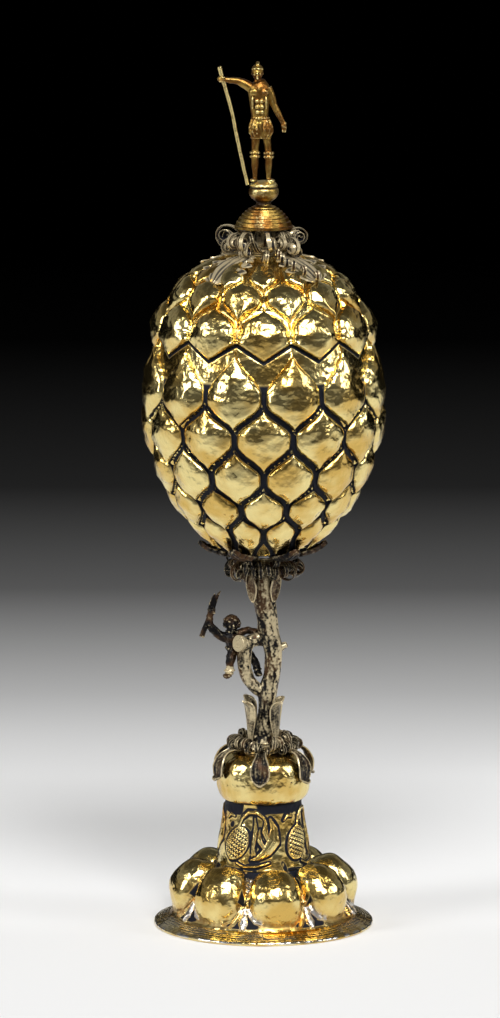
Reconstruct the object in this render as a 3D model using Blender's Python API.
"""A covered standing cup shaped like a pineapple, in silver and silver gilt.

Units are metres, +Z is up, and the origin is the middle of the foot's underside.
The front of the cup faces -Y. An azimuth is measured from the front, towards +X.
"""
import math
from collections import namedtuple

import bmesh
import bpy
from mathutils import Vector

MM = 0.001

# Clearances
SEAT = 0.3 * MM              # between two pieces that lie on each other
HOLE_CLEARANCE = 0.3 * MM    # all round a stud or screw in its hole
RIM_GAP = 0.4 * MM           # upright, between the cup's lip and the cover's rim

# Raised and cut sheet
SHEET = 0.8 * MM             # wall of the raised shells
LEAF_SHEET = 0.6 * MM        # sheet that the leaves and curls are cut from

# Foot
FLANGE_RADIUS = 45.75 * MM
FLANGE_HEIGHT = 4.1 * MM
FLANGE_EDGE_HEIGHT = 1.5 * MM
FLANGE_RUN = 2.05 * MM       # how far the flange's edge slopes in
FLANGE_REST_WIDTH = 3.2 * MM
FLANGE_REST_RUN = 1.0 * MM   # how far the resting ring's inside slopes in
FLANGE_LAND = 1.6 * MM       # how far the flange reaches in under the dome's rim
FOOT_LOBES = 8
FOOT_LOBE_TURN = math.radians(9)
DOME_RIM_RADIUS = 38.9 * MM
DOME_HEIGHT = 20.9 * MM
FOOT_LOBE_REACH = 39.7 * MM  # radius at the outside of a lobe
FOOT_LOBE_TOP = 23.4 * MM    # a lobe's highest point above the dome's rim
FOOT_LOBE_ROWS = 8
FOOT_LOBE_COLUMNS = 6        # columns in a lobe's width
SPOOL_BASE_RADIUS = 19.8 * MM
SPOOL_TOP_RADIUS = 15.9 * MM
SPOOL_HEIGHT = 27.1 * MM
DRUM_RADIUS = 19.3 * MM
DRUM_COLLAR_RADIUS = 14.9 * MM
DRUM_COLLAR_HEIGHT = 3.4 * MM
DRUM_HEIGHT = 19.6 * MM
DRUM_FOOT_LIP = 0.3 * MM     # how far the drum's foot stands out beyond the spool
DRUM_FOOT_LAND = 1.6 * MM    # how far it reaches in over the spool

# Studs, screw, washers and nuts
STUD_RADIUS = 2.0 * MM
SCREW_RADIUS = 1.5 * MM
SOCKET_DEPTH = 8.0 * MM
NUT_RADIUS = 4.4 * MM
NUT_HEIGHT = 3.6 * MM
WASHER_RADIUS = 7.0 * MM
WASHER_HEIGHT = 0.8 * MM
THREAD_BEYOND_NUT = 1.2 * MM

# Stem
TRUNK_HEIGHT = 75.2 * MM
TRUNK_LAND = 1.128 * MM       # height of the straight land at the trunk's foot and top
TRUNK_FLARE = 3.76 * MM       # height of the root flare
TRUNK_SIDES = 10
TRUNK_TOP_RADIUS = 6.4 * MM
LEAF_PLATE_RADIUS = 7.0 * MM
TRUNK_PLATE_EDGE = 0.6 * MM  # how far the top leaves' plate stands out from the trunk

# Leaves and curls
FOOT_CURLS = 10
CALYX_CURLS = 10
COVER_CURLS = 8
FOOT_LEAVES = 6
CALYX_LEAVES = 6
SMALL_LEAVES = 4             # on the cover, in its bud and at each end of the trunk
FOOT_LEAF_EDGE = 8.0 * MM    # radius of each spray's round plate
FOOT_CURL_EDGE = 9.4 * MM
CALYX_CURL_LOW_EDGE = 7.6 * MM
CALYX_CURL_HIGH_EDGE = 8.6 * MM
COVER_LEAF_EDGE = 8.4 * MM
COVER_CURL_LOW_EDGE = 7.4 * MM
COVER_CURL_HIGH_EDGE = 5.6 * MM
BUD_LEAF_EDGE = 3.9 * MM
CURL_WIDTH = 1.5 * MM
CURL_ROOT_WIDTH = 1.2 * MM
CURL_SIDE_RUN = 0.6 * MM     # how far a curl winds sideways
CURL_LENGTHS = (1.0, 0.82, 0.92)
LEAF_TIP_WIDTH = 0.5 * MM
LEAF_OVER_COVER = 2.0 * MM   # how high the cover's leaves lie above its lobes

# Pineapple: the bowl and the cover share one profile
PINEAPPLE_RADIUS = 46.3 * MM   # at the seams, where it is widest
PINEAPPLE_HEIGHT = 123.5 * MM
LOBES_PER_ROW = 12
LOBE_DEPTH = 4.2 * MM
BOWL_PLATE_RADIUS = 9.0 * MM
BOWL_PLATE_HEIGHT = 1.2 * MM
BEZEL_DEPTH = 6.0 * MM         # below the rim's lowest point
BEZEL_RISE = 1.0 * MM          # above the rim's highest point
BEZEL_WALL = 0.8 * MM

# Finial
NECK_RADIUS = 3.0 * MM
NECK_HEIGHT = 13.2 * MM
FINIAL_DOME_RADIUS = 12.0 * MM
FINIAL_DOME_TOP_RADIUS = 6.2 * MM
FINIAL_DOME_HEIGHT = 7.9 * MM
FINIAL_DOME_EDGE = 0.6 * MM
FINIAL_DOME_STEPS = 4
FINIAL_STEP_RUN = 0.35 * MM  # of a step's slope
FINIAL_STEP_RISE = 0.5 * MM
FINIAL_DOME_CEILING = 1.6 * MM
FINIAL_DOME_WALL = 1.5 * MM
KNOP_RADIUS = 6.15 * MM
KNOP_HEIGHT = 8.5 * MM
PLATE_RADIUS = 5.7 * MM
PLATE_HEIGHT = 2.2 * MM
SCREW_IN_PLATE = 1.2 * MM

# Fineness of the mesh
ROUND = 24
WIDE_ROUND = 40
SMALL_ROUND = 12
LIMB_SIDES = 8
CELL_COLUMNS = 2             # columns in a lobe's width
CELL_ROWS = 2                # rings from one row of lobes to the next
CURL_STEPS = 6

GILT = ((0.62, 0.42, 0.14, 1.0), 0.28, 1.0)
SILVER = ((0.55, 0.53, 0.50, 1.0), 0.35, 1.0)
DARK_SILVER = ((0.07, 0.065, 0.06, 1.0), 0.45, 1.0)

Ribbon = namedtuple("Ribbon", "azimuth path widths")

# A curl leaves its plate at the angle rise, winds through turn and measures length along its path
CurlForm = namedtuple("CurlForm", "rise turn length")
FOOT_CURL_LOW = CurlForm(math.radians(8), math.radians(330), 24 * MM)
FOOT_CURL_HIGH = CurlForm(math.radians(66), math.radians(-320), 23 * MM)
CALYX_CURL_LOW = CurlForm(math.radians(-52), math.radians(300), 20 * MM)
CALYX_CURL_HIGH = CurlForm(math.radians(-4), math.radians(-300), 25 * MM)
COVER_CURL_LOW = CurlForm(math.radians(10), math.radians(310), 20 * MM)
COVER_CURL_HIGH = CurlForm(math.radians(64), math.radians(-250), 21 * MM)


# Small tools

def outward(azimuth):
    """Unit vector away from the axis at an azimuth."""
    return Vector((math.sin(azimuth), -math.cos(azimuth), 0))


def sideways(azimuth):
    """Unit vector square to outward, towards rising azimuth."""
    return Vector((math.cos(azimuth), math.sin(azimuth), 0))


def around(count, start=0.0):
    """Evenly spaced azimuths."""
    return [start + 2 * math.pi * i / count for i in range(count)]


def smooth_path(points, per_span):
    """Points on a smooth curve that passes through the given ones."""
    vectors = [Vector(point) for point in points]
    ends = [2 * vectors[0] - vectors[1]] + vectors + [2 * vectors[-1] - vectors[-2]]
    path = []
    for before, start, end, after in zip(ends, ends[1:], ends[2:], ends[3:]):
        for step in range(per_span):
            t = step / per_span
            path.append(0.5 * (2 * start + (end - before) * t
                               + (2 * before - 5 * start + 4 * end - after) * t ** 2
                               + (3 * start - before - 3 * end + after) * t ** 3))
    path.append(vectors[-1])
    return path


def finish(name, look):
    """A metal surface of its own for one piece."""
    colour, roughness, metallic = look
    material = bpy.data.materials.new(name + "_finish")
    material.use_nodes = True
    shader = material.node_tree.nodes["Principled BSDF"]
    shader.inputs["Base Color"].default_value = colour
    shader.inputs["Roughness"].default_value = roughness
    shader.inputs["Metallic"].default_value = metallic
    return material


def add_piece(name, bm, look, parent=None, height=0.0, sharp=math.radians(40)):
    """Turn a closed bmesh into a shaded object whose faces point outwards."""
    if bm.calc_volume(signed=True) < 0:
        bmesh.ops.reverse_faces(bm, faces=bm.faces)
    mesh = bpy.data.meshes.new(name)
    bm.to_mesh(mesh)
    bm.free()
    mesh.shade_smooth()
    mesh.set_sharp_from_angle(angle=sharp)
    piece = bpy.data.objects.new(name, mesh)
    bpy.context.collection.objects.link(piece)
    piece.parent = parent
    piece.location.z = height
    if look:
        mesh.materials.append(finish(name, look))
    else:
        piece.hide_render = True
        piece.display_type = "WIRE"
    return piece


def bridge(bm, ring_a, ring_b):
    """Faces between two closed rings of vertices, either of which may be a single vertex."""
    count = max(len(ring_a), len(ring_b))
    for i in range(count):
        j = (i + 1) % count
        if len(ring_a) == 1:
            bm.faces.new((ring_a[0], ring_b[j], ring_b[i]))
        elif len(ring_b) == 1:
            bm.faces.new((ring_a[i], ring_a[j], ring_b[0]))
        else:
            bm.faces.new((ring_a[i], ring_a[j], ring_b[j], ring_b[i]))


def turned(profile, segments=ROUND):
    """A bmesh turned from (radius, height) points.

    A profile that starts and ends on the axis gives a solid, and any other one is closed into a ring.
    """
    bm = bmesh.new()
    rings = []
    for radius, height in profile:
        if radius == 0:
            rings.append([bm.verts.new((0, 0, height))])
        else:
            rings.append([bm.verts.new(radius * outward(a) + Vector((0, 0, height)))
                          for a in around(segments)])
    for below, above in zip(rings, rings[1:]):
        bridge(bm, below, above)
    if profile[0][0] > 0:
        bridge(bm, rings[-1], rings[0])
    return bm


def tube(bm, points, radii, sides=LIMB_SIDES, flat=1.0, across=None):
    """Add a closed round bar along points; flat thins it square to the direction across."""
    spine = [Vector(point) for point in points]
    rings = []
    for i, centre in enumerate(spine):
        ahead = spine[min(i + 1, len(spine) - 1)] - spine[max(i - 1, 0)]
        ahead.normalize()
        wide = Vector(across) if across else Vector((0, 1, 0))
        wide = (wide - ahead * wide.dot(ahead)).normalized()
        thin = ahead.cross(wide)
        rings.append([bm.verts.new(centre + radii[i] * (math.cos(a) * wide + flat * math.sin(a) * thin))
                      for a in around(sides)])
    for below, above in zip(rings, rings[1:]):
        bridge(bm, below, above)
    bm.faces.new(list(reversed(rings[0])))
    bm.faces.new(rings[-1])


def ball(bm, centre, radii, rings=5, sides=LIMB_SIDES):
    """Add a closed egg shape."""
    middle = Vector(centre)
    loops = []
    for row in range(rings + 1):
        lift = math.pi * row / rings - math.pi / 2
        if row in (0, rings):
            loops.append([bm.verts.new(middle + Vector((0, 0, radii[2] * math.sin(lift))))])
        else:
            loops.append([bm.verts.new(middle + Vector((radii[0] * math.cos(lift) * math.cos(a),
                                                        radii[1] * math.cos(lift) * math.sin(a),
                                                        radii[2] * math.sin(lift))))
                          for a in around(sides)])
    for below, above in zip(loops, loops[1:]):
        bridge(bm, below, above)


def combine(piece, guide, operation):
    """Join a guide to a piece, or cut the piece with it."""
    modifier = piece.modifiers.new(guide.name, "BOOLEAN")
    modifier.object = guide
    modifier.operation = operation
    modifier.solver = "EXACT"
    modifier.use_self = True


# Pineapple surface

# Seam line at each row's middle, as shares of the radius and height, then the share of the lobe
# depth and how full the lobes' lower halves are
ROWS = (
    (0.292, 0.000, 0.00, 3.0),
    (0.562, 0.091, 0.72, 3.0),
    (0.758, 0.185, 0.82, 3.0),
    (0.900, 0.295, 0.90, 3.0),
    (0.991, 0.432, 0.97, 3.0),
    (1.000, 0.574, 1.00, 2.4),
    (0.905, 0.771, 0.96, 1.3),
    (0.726, 0.884, 0.86, 1.6),
    (0.544, 0.946, 0.64, 1.6),
    (0.194, 1.000, 0.00, 1.6),
)
TOP_BOWL_ROW = 5                  # the cup's lip and the cover's rim run above this row
RIM_LOW = 0.57                    # where the rim's points and hollows lie between that row and the next
RIM_HIGH = 0.85
HALF_LOBE = math.pi / LOBES_PER_ROW


def seam_point(row):
    """Radius and height of the seam line at a row number that may have a fraction."""
    index = min(int(row), len(ROWS) - 2)
    t = row - index
    last = len(ROWS) - 1
    before, start, end, after = [Vector(ROWS[max(0, min(last, index + step))][:2]) for step in (-1, 0, 1, 2)]
    point = 0.5 * (2 * start + (end - before) * t
                   + (2 * before - 5 * start + 4 * end - after) * t ** 2
                   + (3 * start - before - 3 * end + after) * t ** 3)
    return Vector((point.x * PINEAPPLE_RADIUS, point.y * PINEAPPLE_HEIGHT))


def seam_normal(row):
    """Outward normal of the seam line, in radius and height."""
    step = 0.02
    last = len(ROWS) - 1
    along = seam_point(min(row + step, last)) - seam_point(max(row - step, 0))
    return Vector((along.y, -along.x)).normalized()


def from_even_lobe(azimuth):
    """How far an azimuth is from the nearest lobe of an even row, 1 being halfway to the next."""
    return abs((azimuth + HALF_LOBE) % (2 * HALF_LOBE) - HALF_LOBE) / HALF_LOBE


def lobe_height(row, azimuth):
    """How far a lobe stands above its seams, from 0 at a seam to the row's depth in the middle."""
    index = min(int(row), len(ROWS) - 2)
    t = row - index
    low, high = (RIM_LOW, RIM_HIGH) if index == TOP_BOWL_ROW else (0.0, 1.0)
    share = min(1.0, max(0.0, (t - low) / (high - low)))
    width_below = 1 - share if index == TOP_BOWL_ROW else 0.5 * (1 + math.cos(math.pi * share))
    from_even = from_even_lobe(azimuth)
    from_below = from_even if index % 2 == 0 else 1 - from_even
    if from_below <= width_below:
        beside = from_below / width_below if width_below > 0 else 1.0
        depth = ROWS[index][2]
        along = min(1.0, t / high)
        rise = (0.5 * (1 + math.cos(math.pi * along))) ** 1.2
    else:
        beside = (1 - from_below) / (1 - width_below)
        _, _, depth, fullness = ROWS[index + 1]
        along = min(1.0, (1 - t) / (1 - low))
        rise = (1 - along ** fullness) ** 0.9
    return LOBE_DEPTH * depth * rise * math.sqrt(max(0.0, 1 - beside ** 2))


def surface_point(row, azimuth):
    """A point of the pineapple's outside."""
    section = seam_point(row) + lobe_height(row, azimuth) * seam_normal(row)
    return section.x * outward(azimuth) + Vector((0, 0, section.y))


def rim_row(azimuth):
    """Row number of the zigzag rim: its points come down below the even rows' middles."""
    return TOP_BOWL_ROW + RIM_LOW + (RIM_HIGH - RIM_LOW) * from_even_lobe(azimuth)


def inset(rings, wall):
    """Rings of points a wall's thickness inside the given ones; the end rings keep their heights."""
    inner = []
    for j, ring in enumerate(rings):
        above = rings[min(j + 1, len(rings) - 1)]
        below = rings[max(j - 1, 0)]
        moved = []
        for i, point in enumerate(ring):
            normal = (ring[(i + 1) % len(ring)] - ring[i - 1]).cross(above[i] - below[i])
            moved.append(point - wall * normal.normalized())
            if j in (0, len(rings) - 1):
                moved[-1].z = point.z
        inner.append(moved)
    return inner


def shell(rings, inner, closed_below=False, leans=None):
    """A closed bmesh of a sheet between outer and inner rings, listed from bottom to top.

    leans says, for a band of faces and a column, whether its diagonals lean to the right going up.
    """
    bm = bmesh.new()
    outer_loops = [[bm.verts.new(point) for point in ring] for ring in rings]
    inner_loops = [[bm.verts.new(point) for point in ring] for ring in inner]
    for loops, facing_out in ((outer_loops, True), (inner_loops, False)):
        for band, (below, above) in enumerate(zip(loops, loops[1:])):
            for i in range(len(below)):
                j = (i + 1) % len(below)
                corners = [below[i], below[j], above[j], above[i]]
                if leans and not leans(band, i):
                    corners = corners[1:] + corners[:1]
                triangles = (corners[:3], [corners[0], corners[2], corners[3]])
                for triangle in triangles:
                    bm.faces.new(triangle if facing_out else list(reversed(triangle)))
    bridge(bm, outer_loops[-1], inner_loops[-1])
    if closed_below:
        bm.faces.new(list(reversed(outer_loops[0])))
        bm.faces.new(inner_loops[0])
    else:
        bridge(bm, inner_loops[0], outer_loops[0])
    return bm


def pineapple_columns():
    return around(LOBES_PER_ROW * CELL_COLUMNS)


def seam_leans(first_row):
    """Diagonals that follow the lobes' seams, in bands of faces counted from a row number."""
    def leans(band, column):
        row = first_row + band // CELL_ROWS
        half_cell = column // (CELL_COLUMNS // 2)
        return (row + half_cell) % 2 == 1
    return leans


def bowl_rings():
    """Outside of the cup, from its flat bottom to its lip."""
    rows = [step / CELL_ROWS for step in range(CELL_ROWS * TOP_BOWL_ROW + 2)]
    rings = [[surface_point(row, a) for a in pineapple_columns()] for row in rows]
    rings.append([surface_point(rim_row(a), a) - Vector((0, 0, RIM_GAP / 2)) for a in pineapple_columns()])
    return rings


def cover_rings():
    """Outside of the cover, from its rim to the flat of its crown."""
    last = len(ROWS) - 1
    rings = [[surface_point(rim_row(a), a) + Vector((0, 0, RIM_GAP / 2)) for a in pineapple_columns()]]
    for step in range(CELL_ROWS * (TOP_BOWL_ROW + 1), CELL_ROWS * last + 1):
        rings.append([surface_point(step / CELL_ROWS, a) for a in pineapple_columns()])
    return rings


def least_radius(rings):
    return min(math.hypot(point.x, point.y) for ring in rings for point in ring)


def crown_height_over(radius):
    """Height of the cover's tallest lobes over a radius, above the bowl's bottom."""
    last = len(ROWS) - 1
    best = seam_point(last).y
    steps = 60
    for step in range(steps):
        row = TOP_BOWL_ROW + 1.5 + (last - TOP_BOWL_ROW - 1.5) * step / steps
        peak = seam_point(row) + LOBE_DEPTH * ROWS[round(row)][2] * seam_normal(row)
        if peak.x >= radius:
            best = peak.y
    return best


# Cut-sheet sprays

def spray(bore, edge, ribbons, thickness=LEAF_SHEET):
    """A round plate with ribbons growing out of its edge, in one closed bmesh.

    A ribbon's path holds (radius, height, sideways) points, and widths holds one width more
    than the path, the first at the plate's edge.
    """
    bm = bmesh.new()
    ordered = sorted(ribbons, key=lambda item: item.azimuth)
    corners = []
    for ribbon, following in zip(ordered, ordered[1:] + ordered[:1]):
        spread = math.asin(ribbon.widths[0] / 2 / edge)
        corners.append((ribbon.azimuth - spread, ribbon))
        gap_start = ribbon.azimuth + spread
        gap = (following.azimuth - spread - gap_start) % (2 * math.pi)
        fillers = math.ceil(gap / (2 * math.pi / SMALL_ROUND))
        for step in range(fillers):
            corners.append((gap_start + gap * step / fillers, None))
    quads = []
    for azimuth, _ in corners:
        column = []
        for radius in (bore, edge):
            for height in (0.0, thickness):
                column.append(bm.verts.new(radius * outward(azimuth) + Vector((0, 0, height))))
        quads.append(column)
    for i, (azimuth, ribbon) in enumerate(corners):
        low_in, high_in, low_out, high_out = quads[i]
        low_in2, high_in2, low_out2, high_out2 = quads[(i + 1) % len(quads)]
        bm.faces.new((high_in, high_out, high_out2, high_in2))
        bm.faces.new((low_in, low_in2, low_out2, low_out))
        bm.faces.new((low_in, high_in, high_in2, low_in2))
        if ribbon:
            grow(bm, ribbon, (high_out, high_out2, low_out2, low_out), edge, thickness)
        else:
            bm.faces.new((low_out, low_out2, high_out2, high_out))
    return bm


def grow(bm, ribbon, section, edge, thickness):
    """Extrude one ribbon from four vertices of a plate's edge."""
    out = outward(ribbon.azimuth)
    across = sideways(ribbon.azimuth)
    path = [edge * out + Vector((0, 0, thickness / 2))]
    for radius, height, side in ribbon.path:
        path.append(radius * out + side * across + Vector((0, 0, height)))
    for i in range(1, len(path)):
        ahead = (path[min(i + 1, len(path) - 1)] - path[i - 1]).normalized()
        face = ahead.cross(across).normalized()
        wide = across * ribbon.widths[i] / 2
        thick = face * thickness / 2
        new = [bm.verts.new(path[i] + offset) for offset in
               (-wide + thick, wide + thick, wide - thick, -wide - thick)]
        bridge(bm, new, section)
        section = new
    bm.faces.new(list(reversed(section)))


def curl_path(edge, form, length, side):
    """A ribbon that winds up tighter as it goes."""
    radius = edge
    height = LEAF_SHEET / 2
    path = []
    for step in range(CURL_STEPS):
        share = (step + 0.5) / CURL_STEPS
        heading = form.rise + form.turn * share ** 2
        radius += length / CURL_STEPS * math.cos(heading)
        height += length / CURL_STEPS * math.sin(heading)
        path.append((radius, height, side * share))
    return path


def curls(count, start, edge, form):
    """A round of curls, of three lengths in turn."""
    ribbons = []
    for number, azimuth in enumerate(around(count, start)):
        side = CURL_SIDE_RUN if number % 2 else -CURL_SIDE_RUN
        length = form.length * CURL_LENGTHS[number % len(CURL_LENGTHS)]
        path = curl_path(edge, form, length, side)
        ribbons.append(Ribbon(azimuth, path, [CURL_ROOT_WIDTH] + [CURL_WIDTH] * len(path)))
    return ribbons


def leaf_widths(count, stalk, widest, where=0.6):
    """Widths along a pointed leaf, whose widest place is a share of the way along."""
    widths = []
    for step in range(count):
        share = step / (count - 1)
        swell = share / where if share < where else (1 - share) / (1 - where)
        rounded = math.sin(swell * math.pi / 2)
        narrow = stalk if share < where else LEAF_TIP_WIDTH
        widths.append(narrow + (widest - narrow) * rounded)
    return widths


def leaves(count, start, points, stalk, widest, where=0.6):
    """A round of like leaves along smooth paths through (radius, height) points."""
    path = [(point.x, point.y, 0.0) for point in smooth_path(points, 1)]
    widths = leaf_widths(len(path) + 1, stalk, widest, where)
    return [Ribbon(azimuth, path, widths) for azimuth in around(count, start)]


# Heights of the pieces that stand on each other

Z_DOME = FLANGE_HEIGHT + SEAT
Z_SPOOL = Z_DOME + DOME_HEIGHT + SEAT
Z_DRUM = Z_SPOOL + SPOOL_HEIGHT + SEAT
Z_FOOT_LEAVES = Z_DRUM + DRUM_HEIGHT + SEAT
PLATE_STEP = LEAF_SHEET + SEAT
Z_FOOT_CURLS_LOW = Z_FOOT_LEAVES + PLATE_STEP
Z_FOOT_CURLS_HIGH = Z_FOOT_CURLS_LOW + PLATE_STEP
Z_STEM_LEAVES_LOW = Z_FOOT_CURLS_HIGH + PLATE_STEP
Z_TRUNK = Z_STEM_LEAVES_LOW + PLATE_STEP
Z_STEM_LEAVES_TOP = Z_TRUNK + TRUNK_HEIGHT + SEAT
Z_CALYX_CURLS_LOW = Z_STEM_LEAVES_TOP + PLATE_STEP
Z_CALYX_CURLS_HIGH = Z_CALYX_CURLS_LOW + PLATE_STEP
Z_CALYX_LEAVES = Z_CALYX_CURLS_HIGH + PLATE_STEP
Z_BOWL_PLATE = Z_CALYX_LEAVES + PLATE_STEP
Z_BOWL = Z_BOWL_PLATE + BOWL_PLATE_HEIGHT + SEAT
Z_CROWN = Z_BOWL + PINEAPPLE_HEIGHT
Z_COVER_LEAVES = Z_CROWN + SEAT
Z_COVER_CURLS_LOW = Z_COVER_LEAVES + PLATE_STEP
Z_COVER_CURLS_HIGH = Z_COVER_CURLS_LOW + PLATE_STEP
Z_BUD_LEAVES = Z_COVER_CURLS_HIGH + PLATE_STEP
Z_NECK = Z_BUD_LEAVES + PLATE_STEP
Z_FINIAL_DOME = Z_NECK + NECK_HEIGHT + SEAT + FINIAL_DOME_CEILING - FINIAL_DOME_HEIGHT
Z_KNOP = Z_FINIAL_DOME + FINIAL_DOME_HEIGHT + SEAT
Z_WARRIOR = Z_KNOP + KNOP_HEIGHT + SEAT

STUD_BORE = STUD_RADIUS + HOLE_CLEARANCE
SCREW_BORE = SCREW_RADIUS + HOLE_CLEARANCE


# Foot

def make_flange(parent):
    top_run = FLANGE_RADIUS - FLANGE_RUN
    inner = DOME_RIM_RADIUS - FLANGE_LAND
    rest = FLANGE_RADIUS - FLANGE_REST_WIDTH
    profile = [
        (FLANGE_RADIUS, 0),
        (FLANGE_RADIUS, FLANGE_EDGE_HEIGHT),
        (top_run, FLANGE_HEIGHT),
        (inner, FLANGE_HEIGHT),
        (inner, FLANGE_HEIGHT - SHEET),
        (rest - FLANGE_REST_RUN, FLANGE_HEIGHT - SHEET),
        (rest, 0),
    ]
    add_piece("foot_flange", turned(profile, WIDE_ROUND), GILT, parent)


def make_dome(parent):
    """The foot's domed part, with a ring of big round lobes."""
    top_radius = SPOOL_BASE_RADIUS
    reach = FOOT_LOBE_REACH
    valley = smooth_path([(DOME_RIM_RADIUS, 0), (0.93 * DOME_RIM_RADIUS, 0.16 * DOME_HEIGHT),
                          (0.76 * DOME_RIM_RADIUS, 0.55 * DOME_HEIGHT),
                          (0.60 * DOME_RIM_RADIUS, 0.80 * DOME_HEIGHT), (top_radius, DOME_HEIGHT)], 20)
    peak = smooth_path([(DOME_RIM_RADIUS, 0), (reach, 0.35 * FOOT_LOBE_TOP),
                        (0.97 * reach, 0.68 * FOOT_LOBE_TOP), (0.78 * reach, FOOT_LOBE_TOP),
                        (0.60 * reach, 0.98 * FOOT_LOBE_TOP), (top_radius, DOME_HEIGHT)], 16)
    half = math.pi / FOOT_LOBES
    columns = around(FOOT_LOBES * FOOT_LOBE_COLUMNS, FOOT_LOBE_TURN)
    rings = []
    for row in range(FOOT_LOBE_ROWS + 1):
        share = row / FOOT_LOBE_ROWS
        low = valley[round(share * (len(valley) - 1))]
        high = peak[round(share * (len(peak) - 1))]
        width = math.sin(math.pi * min(max(share, 0.02), 0.98)) ** 0.4
        ring = []
        for azimuth in columns:
            beside = abs((azimuth - FOOT_LOBE_TURN + half) % (2 * half) - half) / half / width
            section = low + (high - low) * math.sqrt(max(0.0, 1 - beside ** 2))
            ring.append(section.x * outward(azimuth) + Vector((0, 0, section.y)))
        rings.append(ring)
    add_piece("foot_dome", shell(rings, inset(rings, SHEET)), GILT, parent, Z_DOME)


# The spool's side: shares of its fall in radius and of its height
SPOOL_SIDE = ((0.0, 0.0), (0.28, 0.20), (0.45, 0.40), (0.68, 0.58), (0.86, 0.76), (1.0, 1.0))


def make_spool(parent):
    """The waisted tube above the dome."""
    fall = SPOOL_BASE_RADIUS - SPOOL_TOP_RADIUS
    outside = [(SPOOL_BASE_RADIUS - fall * share, height * SPOOL_HEIGHT) for share, height in SPOOL_SIDE]
    inside = [(radius - SHEET, height) for radius, height in reversed(outside)]
    add_piece("foot_spool", turned(outside + inside), GILT, parent, Z_SPOOL)


# The drum's side: how far it lies inside the drum's radius, and the share of the shoulder's height
DRUM_SIDE = ((0.9 * MM, 0.16), (0.0, 0.42), (0.1 * MM, 0.74), (0.5 * MM, 0.91), (1.7 * MM, 0.98))
DRUM_LINING = ((2.2 * MM, 0.93), (SHEET, 0.74), (SHEET, 0.42), (2.0 * MM, 0.18))


def make_drum(parent):
    """The cushion-shaped drum, with a collar and a flat top that the stem stands on."""
    shoulder = DRUM_HEIGHT - DRUM_COLLAR_HEIGHT
    outside = [(SPOOL_TOP_RADIUS + DRUM_FOOT_LIP, 0)]
    outside += [(DRUM_RADIUS - depth, share * shoulder) for depth, share in DRUM_SIDE]
    outside += [(DRUM_COLLAR_RADIUS, shoulder), (DRUM_COLLAR_RADIUS, DRUM_HEIGHT)]
    inside = [
        (STUD_BORE, DRUM_HEIGHT),
        (STUD_BORE, DRUM_HEIGHT - SHEET),
        (DRUM_COLLAR_RADIUS - SHEET, DRUM_HEIGHT - SHEET),
        (DRUM_COLLAR_RADIUS - SHEET, shoulder - SHEET),
    ]
    inside += [(DRUM_RADIUS - depth, share * shoulder) for depth, share in DRUM_LINING]
    inside += [(SPOOL_TOP_RADIUS - DRUM_FOOT_LAND, SHEET), (SPOOL_TOP_RADIUS - DRUM_FOOT_LAND, 0)]
    add_piece("foot_drum", turned(outside + inside), GILT, parent, Z_DRUM)


def make_foot_fixing(parent):
    """The stud below the trunk, with its washer and nut inside the drum."""
    washer_top = Z_DRUM + DRUM_HEIGHT - SHEET - SEAT
    nut_top = washer_top - WASHER_HEIGHT - SEAT
    nut_base = nut_top - NUT_HEIGHT
    add_washer("foot_washer", WASHER_RADIUS, STUD_BORE, WASHER_HEIGHT, parent, washer_top - WASHER_HEIGHT)
    add_nut("foot_nut", STUD_BORE, parent, nut_base)
    stud_base = nut_base - THREAD_BEYOND_NUT
    stud_top = Z_TRUNK + SOCKET_DEPTH - SEAT
    add_rod("stem_stud", STUD_RADIUS, stud_top - stud_base, parent, stud_base)


def add_washer(name, radius, bore, height, parent, base):
    bm = turned([(radius, 0), (radius, height), (bore, height), (bore, 0)], SMALL_ROUND)
    add_piece(name, bm, SILVER, parent, base)


def add_nut(name, bore, parent, base):
    """A six-sided nut."""
    bm = bmesh.new()
    loops = []
    for radius, height in ((NUT_RADIUS, 0), (NUT_RADIUS, NUT_HEIGHT), (bore, NUT_HEIGHT), (bore, 0)):
        ring = []
        for azimuth in around(SMALL_ROUND):
            if radius == NUT_RADIUS:
                side = math.pi / 6
                flat = math.cos(side) / math.cos((azimuth + side) % (2 * side) - side)
                ring.append(bm.verts.new(radius * flat * outward(azimuth) + Vector((0, 0, height))))
            else:
                ring.append(bm.verts.new(radius * outward(azimuth) + Vector((0, 0, height))))
        loops.append(ring)
    for below, above in zip(loops, loops[1:] + loops[:1]):
        bridge(bm, below, above)
    add_piece(name, bm, SILVER, parent, base)


def add_rod(name, radius, length, parent, base):
    """A plain rod that stands for a threaded one."""
    bm = turned([(0, 0), (radius, 0), (radius, length), (0, length)], SMALL_ROUND)
    add_piece(name, bm, SILVER, parent, base)


# Sprays on the foot

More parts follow.
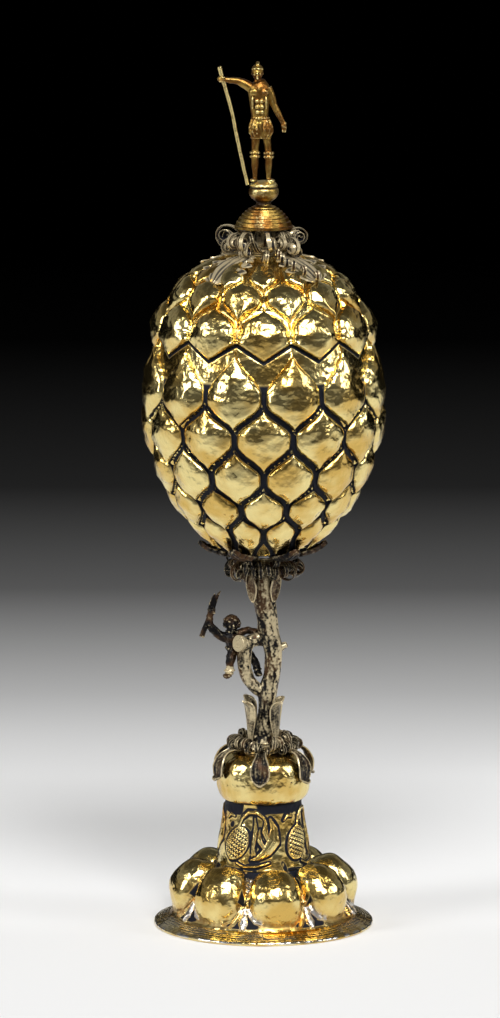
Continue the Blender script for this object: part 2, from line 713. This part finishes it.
def make_foot_sprays(parent):
    """Six leaves that hang over the drum, and two rounds of curls above them."""
    hang = DRUM_RADIUS + 0.9 * MM
    shoulder = -DRUM_COLLAR_HEIGHT
    points = [
        (DRUM_COLLAR_RADIUS - 4 * MM, LEAF_SHEET / 2),
        (DRUM_COLLAR_RADIUS + 1.2 * MM, LEAF_SHEET / 2),
        (hang - 1.3 * MM, shoulder + 2.6 * MM),
        (hang, shoulder - 1.6 * MM),
        (hang + 0.2 * MM, shoulder - 6.0 * MM),
        (hang + 0.5 * MM, shoulder - 9.6 * MM),
        (hang + 2.6 * MM, shoulder - 10.6 * MM),
    ]
    ribbons = leaves(FOOT_LEAVES, math.radians(-4), points, 4.4 * MM, 7.2 * MM)
    add_piece("foot_leaves", spray(STUD_BORE, FOOT_LEAF_EDGE, ribbons), DARK_SILVER, parent, Z_FOOT_LEAVES)
    first = math.radians(10)
    low = curls(FOOT_CURLS, first, FOOT_CURL_EDGE, FOOT_CURL_LOW)
    add_piece("foot_curls_low", spray(STUD_BORE, FOOT_CURL_EDGE, low), DARK_SILVER,
              parent, Z_FOOT_CURLS_LOW)
    high = curls(FOOT_CURLS, first + math.pi / FOOT_CURLS, FOOT_CURL_EDGE, FOOT_CURL_HIGH)
    add_piece("foot_curls_high", spray(STUD_BORE, FOOT_CURL_EDGE, high), DARK_SILVER,
              parent, Z_FOOT_CURLS_HIGH)


# Stem

# Points of the trunk's middle: sideways, forward and share of its height, with its radius there
TRUNK_WAY = (
    (0.0, 0.0, 0.00, 6.2), (0.0, 0.0, TRUNK_LAND / TRUNK_HEIGHT, 5.8),
    (0.6, 0.0, TRUNK_FLARE / TRUNK_HEIGHT, 4.8), (1.2, 0.0, 0.18, 3.4),
    (1.7, 0.0, 0.27, 4.0), (2.6, 0.0, 0.33, 3.7), (3.6, 0.0, 0.39, 3.3), (4.2, 0.0, 0.48, 3.4),
    (3.8, 0.0, 0.54, 3.8),
    (2.2, 0.0, 0.61, 4.1), (1.6, 0.0, 0.69, 4.0), (0.8, 0.0, 0.78, 4.7), (0.2, 0.0, 0.88, 5.4),
    (0.0, 0.0, 1 - TRUNK_LAND / TRUNK_HEIGHT, 6.2), (0.0, 0.0, 1.00, 6.4),
)
# The branch that leaves the trunk low down, bends round and grows back into it
LOOP_WAY = (
    (2.2, 0.0, 0.28, 2.4), (-2.0, 0.4, 0.295, 2.7), (-6.2, 0.8, 0.355, 2.6), (-8.1, 1.0, 0.46, 2.6),
    (-7.2, 0.8, 0.545, 2.8), (-4.0, 0.2, 0.575, 2.7), (1.8, 0.0, 0.575, 2.5),
)
# The sawn end, to the left and forward, and the broken twig to the right
SAWN_WAY = ((-5.2, 0.4, 0.553, 2.4), (-11.2, 3.4, 0.566, 3.0))
TWIG_WAY = ((3.6, 0.0, 0.52, 2.8), (9.7, 0.0, 0.545, 1.1))


def along_trunk(way, grow_by=0.0):
    """World points and radii, in metres, of a way given in millimetres and shares of the trunk."""
    points = [Vector((x * MM, -forward * MM, Z_TRUNK + share * TRUNK_HEIGHT))
              for x, forward, share, _ in way]
    return points, [radius * MM + grow_by for *_, radius in way]


def trunk_form(name, ways, parent, look=None, grow_by=0.0):
    bm = bmesh.new()
    for way in ways:
        points, radii = along_trunk(way, grow_by)
        tube(bm, points, radii, TRUNK_SIDES)
    return add_piece(name, bm, look, parent)


def make_trunk(parent):
    """A cast tree trunk with a looped branch, a sawn branch and a broken twig."""
    trunk = trunk_form("stem_trunk", [TRUNK_WAY], parent, DARK_SILVER)
    combine(trunk, trunk_form("trunk_loop_guide", [LOOP_WAY], parent), "UNION")
    combine(trunk, trunk_form("trunk_branch_guide", [SAWN_WAY, TWIG_WAY], parent), "UNION")
    bm = bmesh.new()
    for base in (Z_TRUNK - 1 * MM, Z_TRUNK + TRUNK_HEIGHT - SOCKET_DEPTH):
        tube(bm, [(0, 0, base), (0, 0, base + SOCKET_DEPTH + 1 * MM)], [STUD_BORE] * 2, SMALL_ROUND)
    combine(trunk, add_piece("trunk_socket_guide", bm, None, parent), "DIFFERENCE")


def make_stem_leaves(parent):
    """Upright leaves round the trunk's foot and hanging ones under its top."""
    low = [(LEAF_PLATE_RADIUS + 0.8 * MM, 1.0 * MM), (LEAF_PLATE_RADIUS + 1.0 * MM, 6 * MM),
           (LEAF_PLATE_RADIUS + 0.6 * MM, 13 * MM), (LEAF_PLATE_RADIUS + 1.4 * MM, 18 * MM),
           (LEAF_PLATE_RADIUS + 4.2 * MM, 20.5 * MM)]
    ribbons = leaves(SMALL_LEAVES, math.radians(45), low, 2.4 * MM, 4.6 * MM)
    add_piece("stem_leaves_low", spray(STUD_BORE, LEAF_PLATE_RADIUS, ribbons), DARK_SILVER,
              parent, Z_STEM_LEAVES_LOW)
    top = [(TRUNK_TOP_RADIUS + 1.5 * MM, -1.2 * MM), (TRUNK_TOP_RADIUS + 1.0 * MM, -6 * MM),
           (TRUNK_TOP_RADIUS + 0.2 * MM, -11 * MM), (TRUNK_TOP_RADIUS - 0.2 * MM, -16.5 * MM)]
    ribbons = leaves(SMALL_LEAVES, math.radians(45), top, 2.4 * MM, 4.4 * MM)
    edge = TRUNK_TOP_RADIUS + TRUNK_PLATE_EDGE
    add_piece("stem_leaves_top", spray(STUD_BORE, edge, ribbons), DARK_SILVER, parent, Z_STEM_LEAVES_TOP)


# Woodcutter, in millimetres from the sawn branch's root: right, back, up
WOODCUTTER_ROOT = LOOP_WAY[4]
WOODCUTTER_TORSO = (((-4.4, 3.2, -1.6), 2.7), ((-5.4, 3.4, 1.0), 2.6), ((-6.0, 3.6, 4.2), 3.1),
                    ((-6.0, 3.6, 6.4), 2.6), ((-5.9, 3.5, 8.2), 1.5))
WOODCUTTER_LIMBS = (
    (((-7.6, 3.6, 5.0), 1.9), ((-10.6, 3.2, 4.0), 1.7), ((-13.6, 2.6, 4.6), 1.6), ((-14.8, 2.2, 9.6), 1.3),
     ((-15.0, 2.1, 12.4), 1.2)),
    (((-4.4, 3.8, 5.2), 1.8), ((-1.0, 4.6, 6.6), 1.6), ((2.4, 4.0, 6.4), 1.4), ((4.6, 2.4, 6.0), 1.5)),
    (((-5.0, 2.6, -1.6), 2.5), ((-6.4, 0.6, -5.6), 2.0), ((-6.8, 0.2, -9.4), 1.7),
     ((-7.0, 0.0, -12.0), 1.9)),
    (((-3.4, 4.2, -1.4), 2.5), ((1.6, 5.4, -5.0), 1.9), ((4.2, 4.8, -9.4), 1.6),
     ((4.8, 4.4, -12.4), 1.7)),
)
WOODCUTTER_ENDS = (
    (((-6.0, 3.4, 11.4), (3.3, 3.4, 3.7))),
    (((-14.9, 2.1, 13.6), (1.9, 1.7, 1.8))),
    (((-7.8, -0.9, -12.4), (1.9, 2.5, 1.3))),
    (((5.2, 3.5, -12.6), (1.6, 2.3, 1.2))),
)
BLADE_WAY = (((-18.3, 2.1, 3.4), 0.8), ((-16.4, 2.1, 9.4), 0.7), ((-15.9, 2.1, 11.4), 0.55),
             ((-14.0, 2.1, 15.8), 0.55), ((-13.5, 2.1, 17.2), 1.1), ((-10.6, 2.1, 24.2), 1.3))
BLADE_FLATNESS = 0.35


def figure_form(name, parent, root, bars=(), balls=(), look=None, grow_by=0.0, flat=1.0, across=None):
    """Bars and balls given in millimetres from a root point."""
    bm = bmesh.new()
    for bar in bars:
        radii = [radius * MM + grow_by for _, radius in bar]
        tube(bm, [root + Vector(point) * MM for point, _ in bar], radii, LIMB_SIDES, flat, across)
    for centre, radii in balls:
        ball(bm, root + Vector(centre) * MM, [radius * MM for radius in radii])
    return add_piece(name, bm, look, parent)


def woodcutter_root():
    x, forward, share, _ = WOODCUTTER_ROOT
    return Vector((x * MM, -forward * MM, Z_TRUNK + share * TRUNK_HEIGHT))


def make_woodcutter(parent):
    """A man seated astride the branch, one hand on the trunk and a blade raised in the other."""
    root = woodcutter_root()
    man = figure_form("woodcutter", parent, root, [WOODCUTTER_TORSO], look=DARK_SILVER)
    combine(man, figure_form("woodcutter_limb_guide", parent, root, WOODCUTTER_LIMBS), "UNION")
    combine(man, figure_form("woodcutter_end_guide", parent, root, balls=WOODCUTTER_ENDS), "UNION")
    seat = trunk_form("woodcutter_seat_guide", [LOOP_WAY, SAWN_WAY], parent, grow_by=SEAT)
    combine(man, seat, "DIFFERENCE")
    combine(man, trunk_form("woodcutter_trunk_guide", [TRUNK_WAY], parent, grow_by=SEAT), "DIFFERENCE")
    slot = figure_form("woodcutter_blade_guide", parent, root, [BLADE_WAY], grow_by=SEAT,
                       flat=BLADE_FLATNESS * 2, across=(1, 0, 0))
    combine(man, slot, "DIFFERENCE")
    figure_form("woodcutter_blade", parent, root, [BLADE_WAY], look=DARK_SILVER, flat=BLADE_FLATNESS,
                across=(1, 0, 0))


# Under the bowl

def make_calyx(parent):
    """Curls and leaves clamped between the trunk and the bowl's plate."""
    start = math.radians(6)
    low = curls(CALYX_CURLS, start, CALYX_CURL_LOW_EDGE, CALYX_CURL_LOW)
    add_piece("calyx_curls_low", spray(STUD_BORE, CALYX_CURL_LOW_EDGE, low), DARK_SILVER, parent,
              Z_CALYX_CURLS_LOW)
    high = curls(CALYX_CURLS, start + math.pi / CALYX_CURLS, CALYX_CURL_HIGH_EDGE, CALYX_CURL_HIGH)
    add_piece("calyx_curls_high", spray(STUD_BORE, CALYX_CURL_HIGH_EDGE, high), DARK_SILVER, parent,
              Z_CALYX_CURLS_HIGH)
    first = seam_point(0).x
    points = [(first - 4 * MM, LEAF_SHEET / 2), (first + 1 * MM, LEAF_SHEET / 2),
              (first + 6 * MM, 1.5 * MM), (first + 10.5 * MM, 3.4 * MM), (first + 14.6 * MM, 4.6 * MM)]
    ribbons = leaves(CALYX_LEAVES, math.radians(30), points, 3.4 * MM, 7.4 * MM)
    add_piece("calyx_leaves", spray(STUD_BORE, BOWL_PLATE_RADIUS - 0.6 * MM, ribbons), DARK_SILVER,
              parent, Z_CALYX_LEAVES)


def make_bowl_stud(parent):
    """A plate under the bowl with the stud that screws into the trunk's top."""
    reach = Z_BOWL_PLATE - (Z_TRUNK + TRUNK_HEIGHT - SOCKET_DEPTH + SEAT)
    profile = [(0, -reach), (STUD_RADIUS, -reach), (STUD_RADIUS, 0), (BOWL_PLATE_RADIUS, 0),
               (BOWL_PLATE_RADIUS, BOWL_PLATE_HEIGHT), (0, BOWL_PLATE_HEIGHT)]
    add_piece("bowl_stud", turned(profile, ROUND), SILVER, parent, Z_BOWL_PLATE)


# Cup and cover

def make_cup(parent):
    rings = bowl_rings()
    add_piece("cup_shell", shell(rings, inset(rings, SHEET), True, seam_leans(0)), GILT, parent, Z_BOWL)


def make_cover(parent, base):
    """The lobed cover, holed at its crown for the finial's screw."""
    rings = cover_rings()
    crown = seam_point(len(ROWS) - 1).y
    for radius in (0.5 * (seam_point(len(ROWS) - 1).x + SCREW_BORE), SCREW_BORE):
        rings.append([radius * outward(a) + Vector((0, 0, crown)) for a in pineapple_columns()])
    inner = inset(rings, SHEET)
    for ring in inner[-3:]:
        for point in ring:
            point.z = crown - SHEET
    inner[-1] = [SCREW_BORE * outward(a) + Vector((0, 0, crown - SHEET)) for a in pineapple_columns()]
    rim_bands = 1
    leans = seam_leans(TOP_BOWL_ROW)
    bands = CELL_ROWS - rim_bands
    add_piece("cover_shell", shell(rings, inner, leans=lambda band, i: leans(band + bands, i)), GILT,
              parent, Z_BOWL - base)


def make_bezel(parent, base):
    """The ring inside the cover that drops into the cup's mouth."""
    cup_inside = inset(bowl_rings(), SHEET)
    cover_inside = inset(cover_rings(), SHEET)
    radius = min(least_radius(cup_inside[-1:]), least_radius(cover_inside[:2])) - SEAT
    low = min(point.z for point in cup_inside[-1]) - BEZEL_DEPTH
    high = max(point.z for point in cup_inside[-1]) + BEZEL_RISE
    profile = [(radius, low), (radius, high), (radius - BEZEL_WALL, high), (radius - BEZEL_WALL, low)]
    add_piece("cover_bezel", turned(profile, WIDE_ROUND), GILT, parent, Z_BOWL - base)


def make_cover_sprays(parent, base):
    """Four broad leaves that lie on the cover, two rounds of curls and four bud leaves."""
    points = []
    for radius in (12 * MM, 17 * MM, 22 * MM, 27 * MM, 31.5 * MM):
        above_crown = crown_height_over(radius) - PINEAPPLE_HEIGHT + LEAF_OVER_COVER
        points.append((radius, max(LEAF_SHEET / 2, above_crown)))
    ribbons = leaves(SMALL_LEAVES, math.radians(47), points, 4.0 * MM, 12.0 * MM, 0.55)
    add_piece("cover_leaves", spray(SCREW_BORE, COVER_LEAF_EDGE, ribbons), DARK_SILVER, parent,
              Z_COVER_LEAVES - base)
    start = math.radians(15)
    low = curls(COVER_CURLS, start, COVER_CURL_LOW_EDGE, COVER_CURL_LOW)
    add_piece("cover_curls_low", spray(SCREW_BORE, COVER_CURL_LOW_EDGE, low), DARK_SILVER, parent,
              Z_COVER_CURLS_LOW - base)
    high = curls(COVER_CURLS, start + math.pi / COVER_CURLS, COVER_CURL_HIGH_EDGE, COVER_CURL_HIGH)
    add_piece("cover_curls_high", spray(SCREW_BORE, COVER_CURL_HIGH_EDGE, high), DARK_SILVER, parent,
              Z_COVER_CURLS_HIGH - base)
    bud = [(4.6 * MM, 0.8 * MM), (5.0 * MM, 3.2 * MM), (5.4 * MM, 5.6 * MM), (6.6 * MM, 7.4 * MM)]
    ribbons = leaves(SMALL_LEAVES, math.radians(-16), bud, 2.0 * MM, 4.2 * MM)
    add_piece("cover_bud_leaves", spray(SCREW_BORE, BUD_LEAF_EDGE, ribbons), DARK_SILVER, parent,
              Z_BUD_LEAVES - base)


# Finial

# The knop's side: shares of its radius and height
KNOP_SIDE = ((0.85, 0.0), (0.80, 0.07), (0.585, 0.15), (0.585, 0.31), (0.886, 0.49), (1.0, 0.67),
             (0.97, 0.85), (0.80, 1.0))


def make_finial_stand(parent, base):
    """Neck tube, stepped dome and knop, each bored for the screw."""
    tube_profile = [(NECK_RADIUS, 0), (NECK_RADIUS, NECK_HEIGHT), (SCREW_BORE, NECK_HEIGHT), (SCREW_BORE, 0)]
    add_piece("finial_neck", turned(tube_profile, SMALL_ROUND), SILVER, parent, Z_NECK - base)
    run = (FINIAL_DOME_RADIUS - FINIAL_DOME_TOP_RADIUS) / FINIAL_DOME_STEPS
    rise = (FINIAL_DOME_HEIGHT - FINIAL_DOME_EDGE) / FINIAL_DOME_STEPS
    outside = [(FINIAL_DOME_RADIUS, 0), (FINIAL_DOME_RADIUS, FINIAL_DOME_EDGE)]
    for step in range(1, FINIAL_DOME_STEPS + 1):
        radius = FINIAL_DOME_RADIUS - run * step
        height = FINIAL_DOME_EDGE + rise * step
        if step < FINIAL_DOME_STEPS:
            outside.append((radius + FINIAL_STEP_RUN, height - FINIAL_STEP_RISE))
        outside.append((radius, height))
    ceiling = FINIAL_DOME_HEIGHT - FINIAL_DOME_CEILING
    inside = [(SCREW_BORE, FINIAL_DOME_HEIGHT), (SCREW_BORE, ceiling),
              (FINIAL_DOME_TOP_RADIUS - FINIAL_DOME_WALL, ceiling),
              (FINIAL_DOME_RADIUS - FINIAL_DOME_WALL, 0)]
    add_piece("finial_dome", turned(outside + inside), GILT, parent, Z_FINIAL_DOME - base)
    outside = [(share * KNOP_RADIUS, height * KNOP_HEIGHT) for share, height in KNOP_SIDE]
    knop = outside + [(SCREW_BORE, KNOP_HEIGHT), (SCREW_BORE, 0)]
    add_piece("finial_knop", turned(knop, ROUND), GILT, parent, Z_KNOP - base)


def make_finial_fixing(parent, base):
    """The screw through the finial and the cover, with its washer and nut inside."""
    washer_top = Z_CROWN - SHEET - SEAT
    nut_base = washer_top - WASHER_HEIGHT - SEAT - NUT_HEIGHT
    add_washer("cover_washer", WASHER_RADIUS - 1 * MM, SCREW_BORE, WASHER_HEIGHT, parent,
               washer_top - WASHER_HEIGHT - base)
    add_nut("cover_nut", SCREW_BORE, parent, nut_base - base)
    rod_base = nut_base - THREAD_BEYOND_NUT
    rod_top = Z_WARRIOR + SCREW_IN_PLATE
    add_rod("finial_screw", SCREW_RADIUS, rod_top - rod_base, parent, rod_base - base)


# Warrior, in millimetres from the middle of his plate's underside: right, back, up
WARRIOR_TORSO = (((-1.2, 0.2, 20.0), 4.6), ((-1.3, 0.1, 24.0), 4.5), ((-1.6, 0.0, 28.6), 3.5),
                 ((-1.7, 0.0, 31.8), 3.9), ((-1.8, 0.0, 36.6), 4.3), ((-1.9, 0.0, 40.2), 4.5),
                 ((-2.1, 0.0, 42.4), 3.0), ((-2.4, -0.1, 44.0), 1.5), ((-2.5, -0.2, 46.0), 1.4))
TORSO_FLATNESS = 0.72
WARRIOR_LIMBS = (
    (((-5.2, 0.0, 40.6), 2.0), ((-8.0, 0.0, 42.3), 1.9), ((-10.8, -0.3, 43.4), 1.5),
     ((-14.2, -1.0, 43.8), 1.2), ((-17.0, -1.4, 44.2), 1.1)),
    (((1.4, 0.0, 40.4), 2.0), ((3.0, -0.2, 37.4), 1.7), ((4.3, -0.3, 33.4), 1.5),
     ((6.2, -0.7, 29.6), 1.2), ((7.9, -1.0, 26.2), 1.0)),
    (((-3.4, 0.2, 22.0), 2.5), ((-3.9, 0.0, 16.5), 2.2), ((-4.0, -0.3, 12.2), 1.9), ((-4.1, 0.0, 9.6), 1.9),
     ((-4.2, 0.1, 5.2), 1.3), ((-4.3, 0.1, 1.6), 1.5)),
    (((1.0, 0.2, 22.0), 2.5), ((1.8, 0.0, 16.5), 2.1), ((2.2, -0.3, 12.2), 2.0), ((2.3, 0.0, 9.2), 1.9),
     ((2.5, 0.1, 5.0), 1.3), ((2.6, 0.1, 1.6), 1.5)),
)
WARRIOR_ENDS = (
    ((-2.6, -0.3, 46.8), (2.5, 2.8, 3.1)),
    ((-17.4, -1.4, 44.3), (1.8, 1.9, 1.7)),
    ((8.4, -1.1, 25.0), (1.3, 1.1, 2.1)),
    ((-4.3, -1.4, 2.4), (1.5, 2.9, 1.1)),
    ((2.6, -1.4, 2.4), (1.5, 2.9, 1.1)),
)
HELMET_WAY = (((-2.5, 2.9, 47.6), 0.7), ((-2.5, 2.2, 49.8), 0.9), ((-2.4, 0.2, 50.6), 0.9),
              ((-2.4, -1.6, 49.8), 0.8))
STAFF_WAY = (((-6.6, -1.6, 0.9), 0.7), ((-10.4, -1.6, 17.8), 0.7), ((-13.3, -1.5, 31.9), 0.7),
             ((-17.6, -1.4, 47.2), 0.8), ((-17.8, -1.4, 48.6), 1.1))


def make_warrior(parent, base):
    """A helmeted warrior cast in one with his plate, which is bored from below for the screw."""
    root = Vector((0, 0, Z_WARRIOR - base))
    man = figure_form("warrior", parent, root, [WARRIOR_TORSO], look=GILT, flat=TORSO_FLATNESS,
                      across=(1, 0, 0))
    plate = [(0, SCREW_IN_PLATE + SEAT), (SCREW_BORE, SCREW_IN_PLATE + SEAT), (SCREW_BORE, 0),
             (0.96 * PLATE_RADIUS, 0), (PLATE_RADIUS, 0.3 * PLATE_HEIGHT),
             (0.96 * PLATE_RADIUS, 0.6 * PLATE_HEIGHT), (0.76 * PLATE_RADIUS, PLATE_HEIGHT),
             (0, PLATE_HEIGHT)]
    combine(man, figure_form("warrior_limb_guide", parent, root, WARRIOR_LIMBS), "UNION")
    combine(man, figure_form("warrior_end_guide", parent, root, [HELMET_WAY], WARRIOR_ENDS), "UNION")
    combine(man, add_piece("warrior_plate_guide", turned(plate, ROUND), None, parent, root.z), "UNION")
    slot = figure_form("warrior_staff_guide", parent, root, [STAFF_WAY], grow_by=SEAT)
    combine(man, slot, "DIFFERENCE")
    figure_form("warrior_staff", parent, root, [STAFF_WAY], look=GILT)


# Whole cup

def clear_scene():
    for old in list(bpy.data.objects):
        bpy.data.objects.remove(old)


def add_axis(name, height):
    """An empty that carries the pieces of one body."""
    axis = bpy.data.objects.new(name, None)
    axis.location.z = height
    bpy.context.collection.objects.link(axis)
    return axis


def build():
    clear_scene()
    cup_axis = add_axis("cup_axis", 0.0)
    make_flange(cup_axis)
    make_dome(cup_axis)
    make_spool(cup_axis)
    make_drum(cup_axis)
    make_foot_fixing(cup_axis)
    make_foot_sprays(cup_axis)
    make_trunk(cup_axis)
    make_stem_leaves(cup_axis)
    make_woodcutter(cup_axis)
    make_calyx(cup_axis)
    make_bowl_stud(cup_axis)
    make_cup(cup_axis)
    cover_base = Z_BOWL + seam_point(TOP_BOWL_ROW + RIM_LOW).y
    cover_axis = add_axis("cover_axis", cover_base)
    make_cover(cover_axis, cover_base)
    make_bezel(cover_axis, cover_base)
    make_cover_sprays(cover_axis, cover_base)
    make_finial_stand(cover_axis, cover_base)
    make_finial_fixing(cover_axis, cover_base)
    make_warrior(cover_axis, cover_base)


build()
